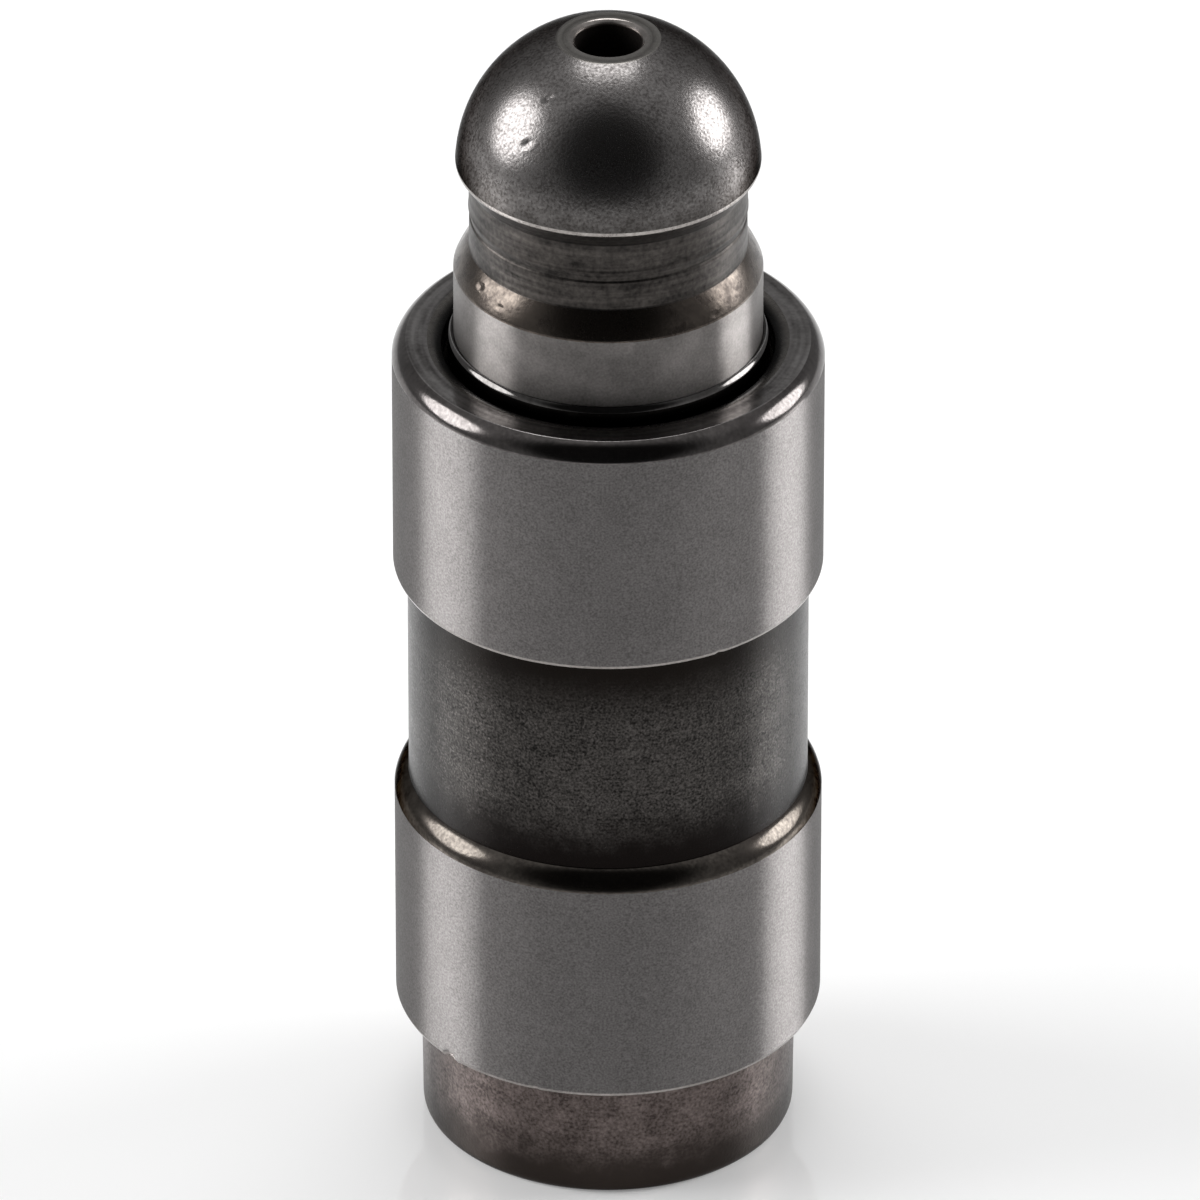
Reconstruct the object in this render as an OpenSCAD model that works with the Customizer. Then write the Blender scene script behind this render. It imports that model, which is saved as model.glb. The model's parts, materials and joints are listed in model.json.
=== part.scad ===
// Hydraulic valve lifter, pivot type: a ground cup, a two-piece plunger with a ball head,
// a ball check valve under the plunger and a coil spring that pushes the plunger out.
// Millimetres. The lifter stands on its base at z = 0, with +Z up its axis.
// It is drawn at rest, with the plunger fully out against its retaining ring.

/* [Body] */
// diameter of the two ground lands, which fit the cylinder head
body_d = 12.0; // [11.8:0.05:12.4]
// diameter of the oil groove between the lands
groove_d = 11.2; // [10.9:0.05:11.6]
// diameter of the base below the lower land
base_d = 10.55; // [10:0.05:11]
// how much narrower the base is at its foot
base_taper = 0.08; // [0.02:0.02:0.3]
// height of the base
base_h = 3.7; // [3:0.1:4.5]
// height of the lower land
lower_land_h = 6.75; // [6:0.05:7.5]
// height of the oil groove
groove_h = 7.3; // [6.5:0.05:8]
// height of the upper land, shoulder included
upper_land_h = 7.15; // [6.5:0.05:7.8]
// width of the rounded shoulder at the top, from the land in to the flat
shoulder_w = 0.4; // [0.2:0.05:0.7]
// height of that shoulder
shoulder_h = 0.5; // [0.3:0.05:0.8]
// radius of its curve
shoulder_r = 0.8; // [0.6:0.05:1.2]
// rounding of the foot's edge
foot_edge_r = 0.22; // [0.1:0.02:0.5]
// height of the rounded step from the groove down to the lower land
ledge_h = 0.6; // [0.5:0.05:0.9]
// chamfer on the two sharp land edges
land_chamfer = 0.07; // [0.03:0.01:0.15]
// diameter of the oil feed hole in the groove, on the far side
feed_d = 1.8; // [1.2:0.1:2.2]
// height of the feed hole above the foot of the groove
feed_rise = 3.75; // [3.2:0.05:4]
// thickness of the closed bottom
floor_t = 2.6; // [2:0.1:3]
// depth of the narrow spring chamber above the bottom
chamber_h = 3.45; // [3.2:0.05:3.8]
// diameter of the spring chamber
chamber_d = 7.5; // [7.2:0.05:8]
// depth of the relief at the foot of the bore, where the grinding wheel runs out
relief_depth = 0.2; // [0.1:0.05:0.3]
// height of that relief
relief_h = 0.8; // [0.5:0.1:1.2]
// width of the chamfer at the mouth of the bore
mouth_chamfer = 0.08; // [0.04:0.02:0.2]

/* [Ball plunger] */
// diameter of the polished stem
stem_d = 8.57; // [8.4:0.01:8.62]
// length of the stem that shows above the body
stem_rise = 2.35; // [1.8:0.05:3.5]
// diameter of the ball head
ball_d = 8.44; // [8:0.02:9]
// height of the ball's lower edge above the ball's centre
ball_edge_h = 0.3; // [0.1:0.05:0.6]
// height of the bevel under the ball
bevel_h = 0.94; // [0.6:0.02:1.2]
// diameter of the neck, where a clip holds the rocker arm
neck_d = 7.7; // [7:0.05:7.9]
// height of the straight neck
neck_h = 1.38; // [0.8:0.02:2]
// height of the cone from the neck out to the stem
flare_h = 1.18; // [0.8:0.02:1.6]
// diameter of the oil hole in the top of the ball
oil_hole_d = 1.95; // [1.2:0.05:2.4]
// diameter of the flat around the oil hole
oil_flat_d = 2.84; // [2.6:0.02:3.2]
// length of the guided part below the ring
guide_h = 4.8; // [3.5:0.1:5]
// diameter of the oil store inside both plungers
store_d = 6.4; // [5.6:0.1:6.8]
// distance from the end of the oil store up to the cone under the neck
store_end = 1.6; // [1.4:0.1:2]
// diameter of the oil gallery above the store
gallery_d = 4.0; // [3.6:0.1:4.4]
// how far the gallery reaches above that cone
gallery_rise = 0.2; // [0.1:0.05:0.4]
// chamfer at the ends of both plungers
plunger_lead = 0.12; // [0.06:0.02:0.2]
// diameter of the ports that let oil into the store
port_d = 1.2; // [0.8:0.1:1.5]

/* [Leakdown plunger] */
// diameter of the closely fitted plunger and guide
guide_d = 9.16; // [9.1:0.01:9.2]
// diameter of the relieved oil collector above the fitted part
collector_d = 8.4; // [8.2:0.05:8.6]
// length of the leakdown plunger
leak_h = 5.6; // [5.2:0.1:6]
// length of its fitted part
leak_land_h = 3.8; // [3.5:0.1:4.2]
// thickness of its floor above the spring seat
leak_floor_t = 1.5; // [1.2:0.1:2]
// depth of the recess that holds the retainer's flange
seat_recess = 0.5; // [0.4:0.05:0.6]
// gap around the retainer's flange
flange_gap = 0.1; // [0.05:0.05:0.2]
// height of the cone that the check ball shuts against
seat_h = 0.4; // [0.35:0.05:0.5]
// chamfer at the foot of the oil store
store_chamfer = 0.5; // [0.3:0.1:0.8]
// diameter of the valve hole
valve_hole_d = 2.0; // [1.8:0.05:2.1]
// how far the plunger can be pushed in
travel = 3.5; // [3:0.1:3.5]

/* [Check valve] */
// diameter of the check ball
check_ball_d = 3.0; // [2.9:0.02:3.1]
// how far the check ball can leave its seat
check_lift = 0.25; // [0.15:0.01:0.3]
// thickness of the retainer's sheet
sheet_t = 0.3; // [0.2:0.02:0.34]
// inside diameter of the retainer's cup
cage_d = 3.7; // [3.5:0.05:3.9]
// diameter of the retainer's flange
flange_d = 7.0; // [6.8:0.05:7.1]
// diameter of the stop under the check ball
stop_d = 1.2; // [1:0.05:1.3]
// height of the stop above the cup's floor
stop_h = 0.85; // [0.8:0.05:1]
// bend at the cup's lower edge
cage_edge = 0.15; // [0.08:0.01:0.18]
// height of the windows above the cup's floor
window_rise = 0.5; // [0.4:0.05:0.7]
// sheet left whole between the windows and the flange
window_top = 0.4; // [0.3:0.05:0.6]
// width of the three oil windows in the cup
window_w = 1.3; // [0.8:0.1:1.6]
// wire of the small spring under the check ball
check_wire = 0.2; // [0.14:0.02:0.22]
// mean diameter of the small spring
check_coil_d = 1.9; // [1.7:0.05:2]
// turns of the small spring
check_turns = 4.5; // [3.5:0.25:5]

/* [Plunger spring and ring] */
// wire of the plunger spring
spring_wire = 0.7; // [0.5:0.05:0.72]
// mean diameter of the plunger spring
spring_coil_d = 6.0; // [5.8:0.05:6.2]
// turns of the plunger spring, with its closed ends
spring_turns = 4.75; // [4:0.25:5]
// wire of the retaining ring
ring_wire = 0.7; // [0.6:0.02:0.8]
// depth of the ring's centre below the top of the body
ring_depth = 1.25; // [1:0.05:1.4]
// angle of the ring's gap
ring_gap = 32; // [10:1:60]

/* [Fits] */
// radial running clearance of the plunger in the bore
run_gap = 0.02; // [0.01:0.005:0.05]
// clearance around the retaining ring, on the stem and in its groove
ring_clear = 0.06; // [0.03:0.01:0.08]
// small clearance between faces that meet at a stop
stop_gap = 0.05; // [0.02:0.01:0.1]

/* [Hidden] */
$fn = 96;
far = 40;
over = 1;
eps = 0.01;

// heights of the body
lower_z = base_h;
groove_z = lower_z + lower_land_h;
upper_z = groove_z + groove_h;
body_h = upper_z + upper_land_h;
body_r = body_d / 2;
groove_r = groove_d / 2;
base_r = base_d / 2;
foot_r = base_r - base_taper / 2;

// the step under the groove: two equal arcs that meet halfway and leave both walls smoothly
step_w = body_r - groove_r;
step_h = max(ledge_h, step_w);
step_r = step_h / sin(2 * atan(step_w / step_h)) / 2;

// the shoulder: an arc through the land's top edge and the rim of the flat top
rim_z = body_h - shoulder_h;
flat_rim_r = body_r - shoulder_w;
chord = sqrt(shoulder_w * shoulder_w + shoulder_h * shoulder_h);
arm = sqrt(shoulder_r * shoulder_r - chord * chord / 4) / chord;
shoulder_mid = [body_r - shoulder_w / 2 - arm * shoulder_h, body_h - shoulder_h / 2 - arm * shoulder_w];

// heights and radii of the bore
guide_r = guide_d / 2;
bore_r = guide_r + run_gap;
shoulder_z = floor_t + chamber_h;
relief_r = bore_r + relief_depth;
feed_z = groove_z + feed_rise;

// retaining ring, held off the stem by its clearance
stem_r = stem_d / 2;
ring_z = body_h - ring_depth;
ring_r = stem_r + ring_clear + ring_wire / 2;
ring_groove_r = ring_wire / 2 + ring_clear / 2;

// leakdown plunger, from its foot up
leak_z = shoulder_z + stop_gap + travel;
leak_top = leak_z + leak_h;
collector_r = collector_d / 2;
store_r = store_d / 2;
flange_z = leak_z + seat_recess;
valve_r = valve_hole_d / 2;

// ball plunger, from its foot up
plunger_z = leak_top + run_gap;
guide_top = ring_z - ring_wire / 2;
guide_z = guide_top - guide_h;
port_z = (plunger_z + guide_z) / 2;
flare_z = body_h + stem_rise;
neck_z = flare_z + flare_h;
bevel_z = neck_z + neck_h;
ball_edge_z = bevel_z + bevel_h;
ball_r = ball_d / 2;
ball_z = ball_edge_z - ball_edge_h;
ball_edge_r = sqrt(ball_r * ball_r - ball_edge_h * ball_edge_h);
neck_r = neck_d / 2;
oil_r = oil_hole_d / 2;
flat_r = oil_flat_d / 2;
top_z = ball_z + sqrt(ball_r * ball_r - flat_r * flat_r);
gallery_r = gallery_d / 2;
store_top = flare_z - store_end;
gallery_top = neck_z + gallery_rise;

// check valve, from its seat down: the seat is a 45 degree cone
check_r = check_ball_d / 2;
check_z = flange_z + seat_h + valve_r - (check_r + run_gap) * sqrt(2);
cage_r = cage_d / 2;
stop_z = check_z - check_r - check_lift - run_gap;
cage_floor_z = stop_z - stop_h;
stop_r = stop_d / 2;
check_coil_r = check_coil_d / 2;
ball_touch = sqrt(pow(check_r + check_wire / 2 + eps, 2) - check_coil_r * check_coil_r);
check_spring_top = check_z - ball_touch + check_wire / 2;

// the node to draw, or all of them

// What a round takes off the outer corner of the foot.
module foot_round() {
  translate([foot_r - foot_edge_r, foot_edge_r])
    difference() {
      translate([0, -2 * foot_edge_r])
        square(2 * foot_edge_r);
      circle(r = foot_edge_r);
    }
}

// Half-plane profile of the body's outside, before its edges are broken.
module body_outside() {
  polygon([
    [0, 0],
    [foot_r, 0],
    [base_r, lower_z],
    [body_r - land_chamfer, lower_z],
    [body_r, lower_z + land_chamfer],
    [body_r, groove_z],
    [groove_r, groove_z],
    [groove_r, upper_z],
    [body_r - land_chamfer, upper_z],
    [body_r, upper_z + land_chamfer],
    [body_r, body_h],
    [0, body_h]
  ]);
}

// The rounded step that carries the groove's floor out to the lower land.
module groove_step() {
  low = [body_r - step_r, groove_z];
  high = [groove_r + step_r, groove_z + step_h];
  translate(low)
    circle(r = step_r);
  difference() {
    polygon([
      [groove_r - eps, groove_z - eps],
      [low[0], groove_z - eps],
      low,
      high,
      [groove_r - eps, high[1]]
    ]);
    translate(high)
      circle(r = step_r);
  }
}

// What the rounded shoulder takes off the top corner of the upper land.
module shoulder_cut() {
  difference() {
    polygon([
      [body_r, rim_z],
      [body_r + over, rim_z],
      [body_r + over, body_h + over],
      [flat_rim_r, body_h + over],
      [flat_rim_r, body_h]
    ]);
    translate(shoulder_mid)
      circle(r = shoulder_r);
  }
}

// Half-plane profile of everything bored out of the body.
module body_inside() {
  translate([0, floor_t])
    square([chamber_d / 2, body_h]);
  translate([0, shoulder_z])
    square([bore_r, body_h]);
  translate([0, shoulder_z])
    square([relief_r, relief_h]);
  translate([ring_r, ring_z])
    circle(r = ring_groove_r);
  polygon([
    [0, body_h - mouth_chamfer],
    [bore_r, body_h - mouth_chamfer],
    [bore_r + mouth_chamfer, body_h],
    [bore_r + mouth_chamfer, body_h + over],
    [0, body_h + over]
  ]);
}

// The ground cup: base, lower land, oil groove, upper land and the stepped bore.
module body() {
  color("#77736f")
    difference() {
      rotate_extrude()
        difference() {
          union() {
            body_outside();
            groove_step();
          }
          body_inside();
          shoulder_cut();
          foot_round();
        }
      translate([0, 0, feed_z])
        rotate([-90, 0, 0])
          cylinder(d = feed_d, h = far);
    }
}

// The round wire ring in the bore's groove, with its gap at the back.
module retaining_ring() {
  color("#5d5b5a")
    rotate([0, 0, 90 + ring_gap / 2])
      rotate_extrude(angle = 360 - ring_gap)
        translate([ring_r, ring_z])
          circle(d = ring_wire);
}

// Half-plane profile of the ball plunger's outside, without the ball.
module ball_plunger_outside() {
  lead = plunger_lead;
  polygon([
    [0, plunger_z],
    [collector_r - lead, plunger_z],
    [collector_r, plunger_z + lead],
    [collector_r, guide_z - (guide_r - collector_r)],
    [guide_r, guide_z],
    [guide_r, guide_top - lead],
    [guide_r - lead, guide_top],
    [stem_r, guide_top],
    [stem_r, flare_z],
    [neck_r, neck_z],
    [neck_r, bevel_z],
    [ball_edge_r, ball_edge_z],
    [0, ball_edge_z]
  ]);
}

// Half-plane profile of the oil store, the gallery above it and the hole through the ball.
module ball_plunger_inside() {
  polygon([
    [0, plunger_z - over],
    [store_r, plunger_z - over],
    [store_r, store_top],
    [gallery_r, store_top + store_r - gallery_r],
    [gallery_r, gallery_top],
    [oil_r, gallery_top + (gallery_r - oil_r) * 0.6],
    [oil_r, top_z + over],
    [0, top_z + over]
  ]);
}

// The upper plunger: guide, stem, clip neck and hollow ball head.
module ball_plunger() {
  color("#6b6866")
    difference() {
      rotate_extrude()
        difference() {
          union() {
            ball_plunger_outside();
            translate([0, ball_z])
              intersection() {
                circle(r = ball_r);
                translate([0, ball_edge_h - eps])
                  square([ball_r, top_z - ball_z - ball_edge_h + eps]);
              }
          }
          ball_plunger_inside();
        }
      translate([0, 0, port_z])
        rotate([0, 90, 0])
          cylinder(d = port_d, h = far, center = true);
    }
}

// The fitted lower plunger: oil store above, valve seat and spring seat below.
module leakdown_plunger() {
  lead = plunger_lead;
  store_floor = flange_z + leak_floor_t;
  color("#7b7876")
    rotate_extrude()
      polygon([
        [valve_r, store_floor],
        [valve_r, flange_z + seat_h],
        [valve_r + seat_h, flange_z],
        [flange_d / 2 + flange_gap, flange_z],
        [flange_d / 2 + flange_gap, leak_z],
        [guide_r - lead, leak_z],
        [guide_r, leak_z + lead],
        [guide_r, leak_z + leak_land_h],
        [collector_r, leak_z + leak_land_h + guide_r - collector_r],
        [collector_r, leak_top - lead],
        [collector_r - lead, leak_top],
        [store_r, leak_top],
        [store_r, store_floor + store_chamfer],
        [store_r - store_chamfer, store_floor]
      ]);
}

// The pressed sheet cage: flange, cup with three windows and a pierced stop for the ball.
module ball_retainer() {
  color("#8a8784")
    difference() {
      rotate_extrude() {
        polygon([
          [cage_r, flange_z],
          [flange_d / 2, flange_z],
          [flange_d / 2, flange_z - sheet_t],
          [cage_r + sheet_t, flange_z - sheet_t],
          [cage_r + sheet_t, cage_floor_z - sheet_t + cage_edge],
          [cage_r + sheet_t - cage_edge, cage_floor_z - sheet_t],
          [stop_r / 2, cage_floor_z - sheet_t],
          [stop_r / 2, stop_z],
          [stop_r, stop_z],
          [stop_r, cage_floor_z],
          [cage_r, cage_floor_z]
        ]);
      }
      for (turn = [0, 120, 240])
        rotate([0, 0, turn])
          translate([0, -window_w / 2, cage_floor_z + window_rise])
            cube([cage_r + over, window_w, flange_z - sheet_t - window_top - cage_floor_z - window_rise]);
    }
}

// The polished valve ball, just under its seat.
module check_ball() {
  color("#b9b9bb")
    translate([0, 0, check_z])
      sphere(r = check_r);
}

// A wire coil between two heights, with closed ends that are ground flat.
module coil(wire, mean_r, z_low, z_high, turns, steps, sides) {
  first = z_low + 0.2 * wire;
  last = z_high - 0.2 * wire;
  closed = 1.03 * wire;
  pitch = (last - first - 2 * closed) / (turns - 2);
  count = round(turns * steps);
  function height(u) =
    u < 1 ? first + closed * u :
    u > turns - 1 ? last - closed * (turns - u) :
    first + closed + pitch * (u - 1);
  points = [
    for (i = [0 : count])
      let (u = turns * i / count, a = 360 * u)
        for (j = [0 : sides - 1])
          let (b = 360 * j / sides, r = mean_r + wire / 2 * cos(b), z = height(u) + wire / 2 * sin(b))
            [r * cos(a), r * sin(a), max(z_low, min(z_high, z))]
  ];
  walls = [
    for (i = [0 : count - 1])
      for (j = [0 : sides - 1])
        let (k = (j + 1) % sides, p = i * sides, q = p + sides)
          each [[p + j, p + k, q + k], [p + j, q + k, q + j]]
  ];
  start_cap = [for (j = [1 : sides - 2]) [0, j + 1, j]];
  end_cap = [for (j = [1 : sides - 2]) [count * sides, count * sides + j, count * sides + j + 1]];
  polyhedron(points = points, faces = concat(walls, start_cap, end_cap), convexity = 10);
}

// The small spring that holds the check ball up.
module check_ball_spring() {
  color("#8f8f90")
    coil(check_wire, check_coil_r, cage_floor_z, check_spring_top, check_turns, 24, 8);
}

// The spring that pushes both plungers out of the body.
module plunger_spring() {
  color("#84827f")
    coil(spring_wire, spring_coil_d / 2, floor_t, flange_z - sheet_t, spring_turns, 40, 12);
}

body();
retaining_ring();
ball_plunger();
leakdown_plunger();
ball_retainer();
check_ball();
check_ball_spring();
plunger_spring();
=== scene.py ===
# %% [markdown]
# # A hydraulic valve lifter
# This small steel part stands in an engine's cylinder head and carries one end of a rocker arm on
# its ball. Oil under the plunger takes up the play in the valve train. The CAD model is loaded
# first and stays as the fixed frame: every piece below is measured from it and rides on its bodies.

# %% The frame
import json
import math

import bpy
import numpy as np
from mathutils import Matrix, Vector

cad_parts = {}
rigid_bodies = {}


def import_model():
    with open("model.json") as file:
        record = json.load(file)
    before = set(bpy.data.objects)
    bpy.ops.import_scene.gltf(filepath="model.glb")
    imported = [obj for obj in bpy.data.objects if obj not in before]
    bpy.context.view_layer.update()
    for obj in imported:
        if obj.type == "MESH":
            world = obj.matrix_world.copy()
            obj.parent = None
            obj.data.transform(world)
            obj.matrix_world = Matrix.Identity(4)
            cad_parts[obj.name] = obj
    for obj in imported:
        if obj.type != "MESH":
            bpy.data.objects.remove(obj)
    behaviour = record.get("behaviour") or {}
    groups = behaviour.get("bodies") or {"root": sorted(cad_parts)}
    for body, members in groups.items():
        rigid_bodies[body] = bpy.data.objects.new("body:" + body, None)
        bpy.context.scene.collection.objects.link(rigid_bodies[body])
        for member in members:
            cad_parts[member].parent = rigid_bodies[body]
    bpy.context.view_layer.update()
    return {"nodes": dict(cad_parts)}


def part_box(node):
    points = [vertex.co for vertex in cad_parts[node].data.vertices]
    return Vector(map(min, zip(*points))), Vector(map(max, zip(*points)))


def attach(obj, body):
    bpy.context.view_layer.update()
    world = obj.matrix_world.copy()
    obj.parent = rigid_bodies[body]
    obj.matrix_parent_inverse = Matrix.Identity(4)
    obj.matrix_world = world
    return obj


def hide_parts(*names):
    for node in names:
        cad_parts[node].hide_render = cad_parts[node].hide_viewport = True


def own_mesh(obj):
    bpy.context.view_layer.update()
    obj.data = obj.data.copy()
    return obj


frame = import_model()
MM = 0.001

# %% [markdown]
# ## Camera
# The photograph looks down on the lifter at about 31 degrees with a long lens, so that the sides
# stay nearly parallel. The camera is placed by angles round the point it aims at, because an angle
# is easier to compare with a photograph than a position is.

# %% Camera
VIEW_ELEVATION = math.radians(31.5)
AIM = Vector((-0.229, 0.0, 16.36)) * MM
CAMERA_DISTANCE = 0.5
SENSOR_WIDTH, FOCAL_LENGTH = 36.0, 537.2
NEAREST, FARTHEST = 0.01, 20.0


def placed(name, data):
    """A new object that shows some data, put into the scene."""
    made = bpy.data.objects.new(name, data)
    bpy.context.scene.collection.objects.link(made)
    return made


lens = bpy.data.cameras.new("long_lens")
lens.sensor_width = SENSOR_WIDTH
lens.lens = FOCAL_LENGTH
lens.clip_start = NEAREST
lens.clip_end = FARTHEST
camera = placed("camera", lens)
towards_camera = Vector((0, -math.cos(VIEW_ELEVATION), math.sin(VIEW_ELEVATION)))
camera.location = AIM + CAMERA_DISTANCE * towards_camera
camera.rotation_euler = (math.pi / 2 - VIEW_ELEVATION, 0, 0)
bpy.context.scene.camera = camera
print("camera at", [round(v, 3) for v in camera.location])

# %% [markdown]
# ## Nodes and colours
# Blender's shaders work in linear light, while colours are read off a screen as sRGB hex values.
# One function turns one into the other. Another adds a shader node, with its settings and links, so
# that a material reads as a list of what it is made of. The Mix node is the one that needs numbers
# for its sockets: 0 is the factor, 2 and 3 are the values that it mixes and 6 and 7 the colours. Its
# mixed value comes out at 0 and its mixed colour at 2.

# %% Colour and node helpers
def linear(hex_colour):
    """An sRGB hex colour as linear red, green, blue and alpha."""
    parts = [int(hex_colour[i:i + 2], 16) / 255 for i in (1, 3, 5)]
    return [c / 12.92 if c <= 0.04045 else ((c + 0.055) / 1.055) ** 2.4 for c in parts] + [1.0]


def emptied(owner):
    """The node tree of a material, lamp or world, with no nodes in it yet."""
    owner.use_nodes = True
    owner.node_tree.nodes.clear()
    return owner.node_tree


def add(tree, kind, inputs=None, **settings):
    """Adds a node; an input is given a value, or is linked if a socket is given."""
    made = tree.nodes.new(kind)
    for name, value in settings.items():
        setattr(made, name, value)
    for key, value in (inputs or {}).items():
        if isinstance(value, bpy.types.NodeSocket):
            tree.links.new(value, made.inputs[key])
        else:
            made.inputs[key].default_value = value
    return made


print("linear value of mid grey:", round(linear("#808080")[0], 3))

# %% [markdown]
# ## Floor and light
# Bright metal shows its surroundings more than its own colour, so the studio is part of the look.
# The lifter stands on a pale floor in a grey light tent. The tent is open towards the camera, and
# that dark opening gives the black on the front of the ball. Two oval soft boxes, left and right,
# draw the bright bands, and a third high at the back lights the top. The upright lands look down at
# the floor, so the floor is glazed and shows them the soft boxes again. Its IOR is higher than that
# of a real glaze, because otherwise the bands are too faint.

# %% Floor
FLOOR_RADIUS, FLOOR_SIDES = 1.5, 96
CARD_FIBRE = 4 * MM
GLAZE_ROUGHNESS, GLAZE_IOR = 0.05, 2.5
WHITE_LIFT = 0.2


def full_turn(count):
    """Equal steps round a circle, in radians."""
    return np.linspace(0, 2 * math.pi, count, endpoint=False)


floor_mesh = bpy.data.meshes.new("floor")
rim = [(FLOOR_RADIUS * math.cos(a), FLOOR_RADIUS * math.sin(a), 0.0) for a in full_turn(FLOOR_SIDES)]
floor_mesh.from_pydata(rim, [], [range(FLOOR_SIDES)])
floor = placed("floor", floor_mesh)

card = bpy.data.materials.new("white_card_glazed")
card_tree = emptied(card)
fibre = add(card_tree, "ShaderNodeTexNoise", {"Scale": 1 / CARD_FIBRE, "Detail": 3.0})
tone = add(card_tree, "ShaderNodeValToRGB", {"Fac": fibre.outputs["Fac"]})
tone.color_ramp.elements[0].color = linear("#f6f6f6")
tone.color_ramp.elements[1].color = linear("#fbfbfb")
# The camera and the mirroring steel see the card a little whiter than the lamps make it.
ray = add(card_tree, "ShaderNodeLightPath")
seen = add(card_tree, "ShaderNodeMath", {
    0: ray.outputs["Is Camera Ray"], 1: ray.outputs["Is Glossy Ray"]}, operation="MAXIMUM")
seen = add(card_tree, "ShaderNodeMath", {
    0: seen.outputs[0], 1: ray.outputs["Is Transmission Ray"]}, operation="MAXIMUM")
lift = add(card_tree, "ShaderNodeMath", {0: seen.outputs[0], 1: WHITE_LIFT}, operation="MULTIPLY")
glaze = add(card_tree, "ShaderNodeBsdfPrincipled", {
    "Base Color": tone.outputs["Color"], "Roughness": GLAZE_ROUGHNESS, "IOR": GLAZE_IOR,
    "Emission Color": linear("#ffffff"), "Emission Strength": lift.outputs[0]})
add(card_tree, "ShaderNodeOutputMaterial", {"Surface": glaze.outputs["BSDF"]})
floor_mesh.materials.append(card)
print("floor radius in m:", FLOOR_RADIUS)

# %% Soft boxes
LAMP_DISTANCE = 0.4
LAMP_AIM = Vector((0, 0, 18 * MM))
SOFT_BOX_RADIANCE = 4.6
FADE_OUTER, FADE_INNER = 1.03, 0.88


def soft_box(name, turn, rise, wide, tall, share):
    """An oval soft box whose light fades out at its edge. The angles, in degrees, say where it is, from
    the front to the right and up, and how much it fills as seen from the lifter."""
    width, height = (2 * LAMP_DISTANCE * math.tan(math.radians(v) / 2) for v in (wide, tall))
    light = bpy.data.lights.new(name, "AREA")
    light.energy = share * SOFT_BOX_RADIANCE * math.pi * width * height * math.pi / 4
    light.shape = "ELLIPSE"
    light.size = width
    light.size_y = height
    a, e = math.radians(turn), math.radians(rise)
    away = Vector((math.sin(a) * math.cos(e), -math.cos(a) * math.cos(e), math.sin(e)))
    made = placed(name, light)
    made.location = LAMP_AIM + away * LAMP_DISTANCE
    made.rotation_euler = away.to_track_quat("Z", "Y").to_euler()
    made.visible_camera = False
    tree = emptied(light)
    spot = add(tree, "ShaderNodeNewGeometry").outputs["Position"]
    off = add(tree, "ShaderNodeVectorMath", {0: spot, 1: made.location}, operation="DISTANCE")
    reach = (width + height) / 4
    fade = add(tree, "ShaderNodeMapRange", {
        "Value": off.outputs["Value"], "From Min": FADE_OUTER * reach, "From Max": FADE_INNER * reach},
        interpolation_type="SMOOTHSTEP")
    glow = add(tree, "ShaderNodeEmission", {"Strength": fade.outputs[0]})
    add(tree, "ShaderNodeOutputLight", {"Surface": glow.outputs[0]})


soft_box("soft_box_left", turn=-93, rise=24, wide=39, tall=37, share=1.6)
soft_box("soft_box_right", turn=105, rise=18, wide=35, tall=32, share=1.9)
soft_box("soft_box_back", turn=180, rise=70, wide=38, tall=27, share=0.9)

# %% Light tent
OPENING_RISE = math.radians(35)
OPENING = Vector((0, -math.cos(OPENING_RISE), math.sin(OPENING_RISE)))
OPENING_EDGE, OPENING_FULL = 0.6, 0.86
ROOF_EDGE, ROOF_FULL = 0.45, 0.85
WALL, ROOF, OPENING_DARK = "#969696", "#c6c6c6", "#2c2c2c"

tent = bpy.data.worlds.new("grey_light_tent")
cloth = emptied(tent)
way = add(cloth, "ShaderNodeTexCoord").outputs["Generated"]
ahead = add(cloth, "ShaderNodeVectorMath", {0: way, 1: OPENING}, operation="DOT_PRODUCT")
open_share = add(cloth, "ShaderNodeMapRange", {
    "Value": ahead.outputs["Value"], "From Min": OPENING_EDGE, "From Max": OPENING_FULL},
    interpolation_type="SMOOTHSTEP")
upward = add(cloth, "ShaderNodeSeparateXYZ", {0: way})
roof_share = add(cloth, "ShaderNodeMapRange", {
    "Value": upward.outputs["Z"], "From Min": ROOF_EDGE, "From Max": ROOF_FULL},
    interpolation_type="SMOOTHSTEP")
wall = add(cloth, "ShaderNodeMix", {
    0: roof_share.outputs[0], 6: linear(WALL), 7: linear(ROOF)}, data_type="RGBA")
wall = add(cloth, "ShaderNodeMix", {
    0: open_share.outputs[0], 6: wall.outputs[2], 7: linear(OPENING_DARK)}, data_type="RGBA")
glow = add(cloth, "ShaderNodeBackground", {"Color": wall.outputs[2]})
add(cloth, "ShaderNodeOutputWorld", {"Surface": glow.outputs[0]})
bpy.context.scene.world = tent
bpy.context.scene.view_settings.view_transform = "Standard"
print("light tent with its opening", round(math.degrees(OPENING_RISE)), "degrees up in front")

# %% [markdown]
# ## Steel finishes
# The whole lifter is hardened steel, and what tells its surfaces apart is how each was made: ground,
# polished, turned, tumbled or left as it came from the furnace. So one function builds a steel and
# takes the sizes of its marks in millimetres. Marks that run round the axis are noise stretched
# along x and y and squeezed along radius plus height, which works on cylinders, flats and cones
# alike and has no seam. Oil and furnace skin dull a steel most at glancing angles, which the
# glancing colour sets: white is bare steel. The marks of a real ground or polished face are a few
# thousandths of a millimetre wide, far too fine for a render, so they are drawn near a tenth of a
# millimetre.

# %% Steel
# Blender's noise seldom leaves the middle of its range, so colour and roughness are spread over that.
TONE_LOW, TONE_HIGH = 0.35, 0.65
ROUGH_LOW, ROUGH_HIGH = 0.3, 0.7


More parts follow.
